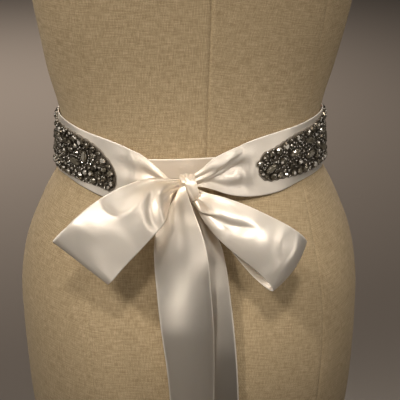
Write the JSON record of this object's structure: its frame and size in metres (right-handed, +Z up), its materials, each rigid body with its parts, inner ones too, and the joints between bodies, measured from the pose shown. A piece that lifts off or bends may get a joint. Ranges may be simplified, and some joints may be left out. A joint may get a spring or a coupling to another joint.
{
  "type": "bridal sash on a dress form",
  "caption": "Ivory satin ribbon sash with a beaded applique, tied in a bow at the back of a linen-covered limbless dress form on a round stand.",
  "frame": {"origin": "on the floor at the centre of the stand's round base, under the pole", "axes": "+Z up along the pole; +Y the wearer's front; the bow is at the back, on the -Y side; +X the wearer's right"},
  "size_m": [0.44, 0.44, 1.5453],
  "materials": {
    "satin": "ivory double-faced satin",
    "stones": "smoky and clear cut stones in dark settings",
    "linen": "natural coarse linen",
    "cap": "satin varnish",
    "stand": "satin black",
    "base": "painted black"
  },
  "bodies": {
    "root": {"sash_band_front": "satin", "sash_band_left": "satin", "sash_band_right": "satin", "sash_under_pass": "satin", "sash_knot": "satin", "sash_loop_left": "satin", "sash_loop_right": "satin", "sash_tail_front": "satin", "sash_tail_rear": "satin", "applique_left": "stones", "applique_front": "stones", "applique_right": "stones", "form_torso": "linen", "form_neck_cap": "cap", "stand_flange": "stand", "stand_pole": "stand", "stand_hub": "base", "stand_base": "base"}
  },
  "joints": []
}
